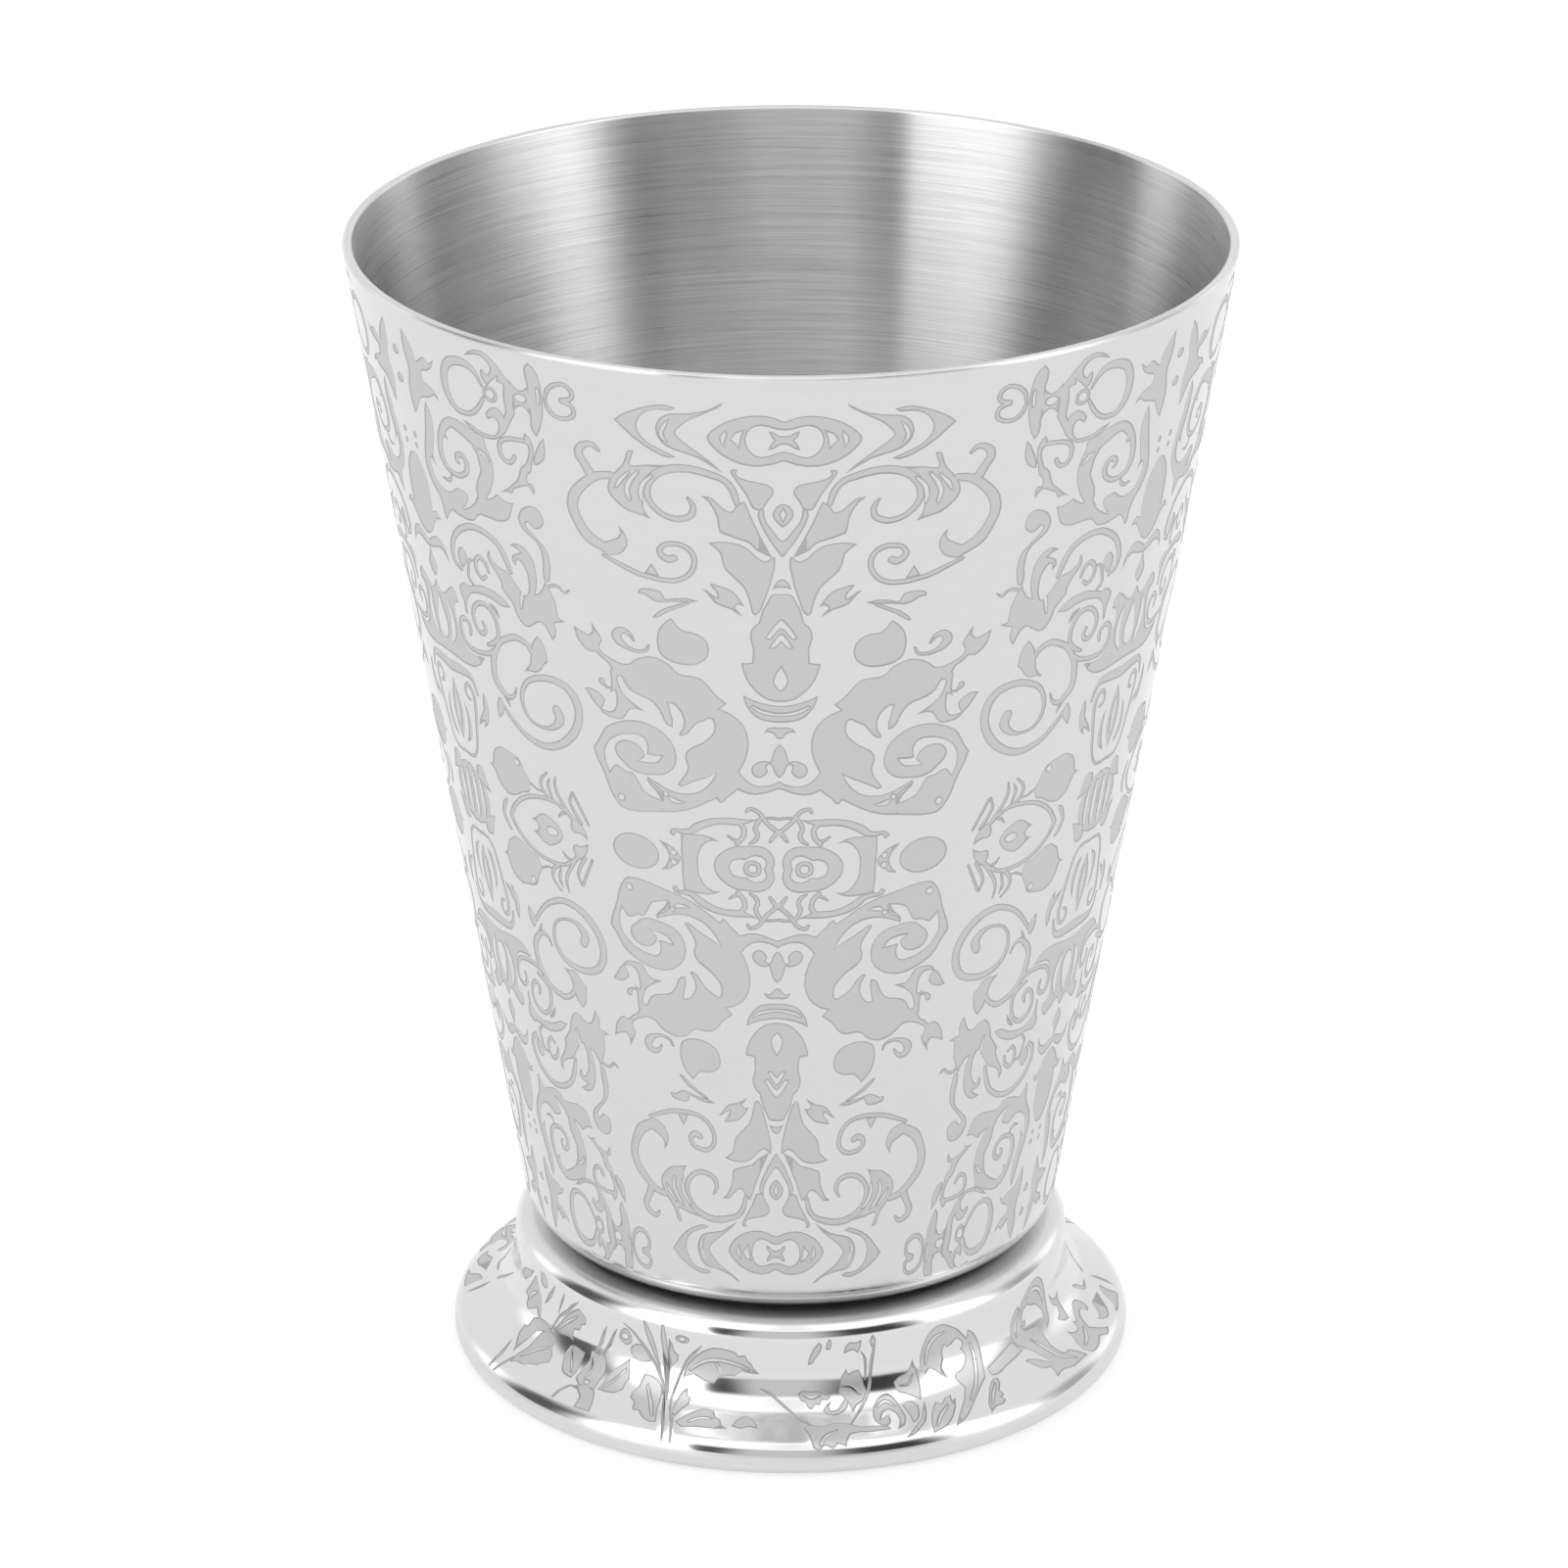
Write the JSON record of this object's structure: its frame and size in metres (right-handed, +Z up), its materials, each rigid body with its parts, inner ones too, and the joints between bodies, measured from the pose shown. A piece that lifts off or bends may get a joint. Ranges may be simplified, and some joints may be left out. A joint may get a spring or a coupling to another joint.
{
  "type": "footed tumbler",
  "caption": "Tapered single-walled steel tumbler with etched scrollwork outside and a brushed inside, brazed to a flared, mirror-polished foot.",
  "frame": {"origin": "centre of the foot, on the surface that the tumbler stands on", "axes": "+Z up along the tumbler's axis; the view in the picture looks along +Y"},
  "size_m": [0.0838, 0.0838, 0.1135],
  "materials": {
    "etched_steel": "polished outside with a frosted etch, brushed inside",
    "mirror_steel": "mirror polished",
    "braze_filler": "as cast"
  },
  "bodies": {
    "root": {"cup_body": "etched_steel", "foot": "mirror_steel", "braze_ring": "braze_filler"}
  },
  "joints": []
}
